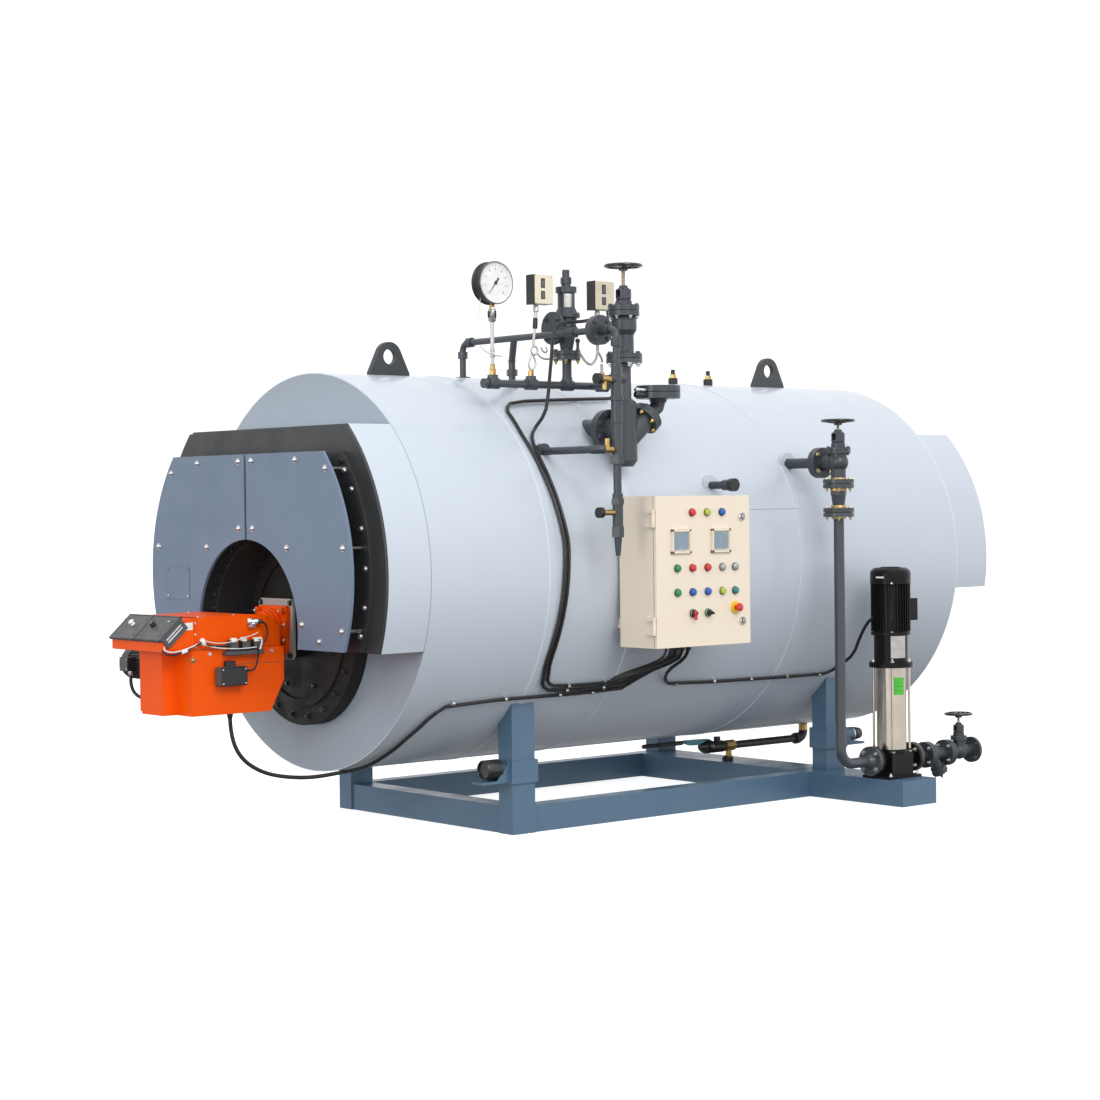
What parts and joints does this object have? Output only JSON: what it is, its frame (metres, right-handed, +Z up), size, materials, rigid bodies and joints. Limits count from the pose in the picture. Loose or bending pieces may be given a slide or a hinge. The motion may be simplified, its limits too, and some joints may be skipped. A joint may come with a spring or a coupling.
{
  "type": "industrial steam boiler",
  "caption": "Horizontal fire-tube steam boiler on a steel skid with burner, control panel, valves and feed pump.",
  "frame": {"origin": "on the ground, at the middle of the underside of the front cross beam, on the boiler's middle plane", "axes": "+X along the boiler from the burner to the rear smokebox, +Y to the side away from the control panel, +Z up"},
  "size_m": [5.1505, 2.4229, 2.8549],
  "materials": {
    "skid_paint": "satin",
    "cladding_paint": "gloss",
    "end_plate_paint": "satin",
    "black_plate": "satin",
    "furnace_black": "matte",
    "cover_paint": "satin",
    "stud_steel": "polished",
    "burner_plate_grey": "satin",
    "burner_orange": "gloss",
    "burner_dark": "satin",
    "valve_paint": "satin",
    "lug_paint": "satin",
    "panel_paint": "satin",
    "button_plastic": "gloss",
    "wheel_black": "gloss",
    "brass": "satin",
    "gauge_steel": "satin",
    "switch_plastic": "matte",
    "pump_black": "satin",
    "pump_steel": "satin",
    "cable_rubber": "matte"
  },
  "bodies": {
    "boiler": {"skid_front_beam": "skid_paint", "skid_side_rails": "skid_paint", "skid_rear_beam": "skid_paint", "front_legs": "skid_paint", "rear_legs": "skid_paint", "leg_sleeves": "skid_paint", "shell_cladding": "cladding_paint", "rear_end_plate": "cladding_paint", "rear_smokebox": "cladding_paint", "rear_cover": "cladding_paint", "front_end_plate": "end_plate_paint", "front_smokebox": "black_plate", "smokebox_flange": "black_plate", "smokebox_door": "black_plate", "furnace_front": "furnace_black", "cover_plate_left": "cover_paint", "cover_plate_right": "cover_paint", "cover_studs": "stud_steel", "burner_plate": "burner_plate_grey", "burner_head": "burner_orange", "burner_air_box": "burner_orange", "burner_housing": "burner_orange", "burner_lids": "burner_dark", "burner_fan_motor": "burner_dark", "burner_fittings": "burner_dark", "flue_collar": "valve_paint", "steam_nozzle": "valve_paint", "outlet_body": "valve_paint", "outlet_elbow": "valve_paint", "outlet_flange": "valve_paint", "column_pipe": "valve_paint", "main_valve": "valve_paint", "balance_pipe": "valve_paint", "level_column": "valve_paint", "instrument_pipe": "valve_paint", "safety_valve": "valve_paint", "shell_nozzles": "valve_paint", "feed_nozzle": "valve_paint", "feed_valve": "valve_paint", "check_valve": "valve_paint", "feed_pipe": "valve_paint", "suction_line": "valve_paint", "suction_valve": "valve_paint", "drain_line": "valve_paint", "lifting_lugs": "lug_paint", "panel_box": "panel_paint", "brass_cocks": "brass", "pressure_gauge": "gauge_steel", "pressure_switches": "switch_plastic", "pump_base": "pump_black", "pump_motor": "pump_black", "pump_sleeve": "pump_steel", "cable_conduits": "cable_rubber", "burner_cable": "cable_rubber"},
    "panel_door": {"panel_door": "panel_paint", "panel_controls": "button_plastic"},
    "main_wheel": {"main_handwheel": "wheel_black"},
    "feed_wheel": {"feed_handwheel": "wheel_black"},
    "suction_wheel": {"suction_handwheel": "wheel_black"}
  },
  "joints": [
    {"name": "panel_door_hinge", "type": "hinge", "parent": "boiler", "child": "panel_door", "pos_m": [0.407, -1.2815, 1.3], "axis": [0, 0, -1], "range_deg": [0, 110]},
    {"name": "main_wheel_turn", "type": "hinge", "parent": "boiler", "child": "main_wheel", "pos_m": [0.527, -0.95, 2.846], "axis": [0, 0, 1], "range_deg": [0, 1710]},
    {"name": "feed_wheel_turn", "type": "hinge", "parent": "boiler", "child": "feed_wheel", "pos_m": [1.805, -1.224, 2.072], "axis": [0, 0, 1], "range_deg": [0, 1710]},
    {"name": "suction_wheel_turn", "type": "hinge", "parent": "boiler", "child": "suction_wheel", "pos_m": [2.769, -1.224, 0.444], "axis": [0, 0, 1], "range_deg": [0, 1710]}
  ]
}
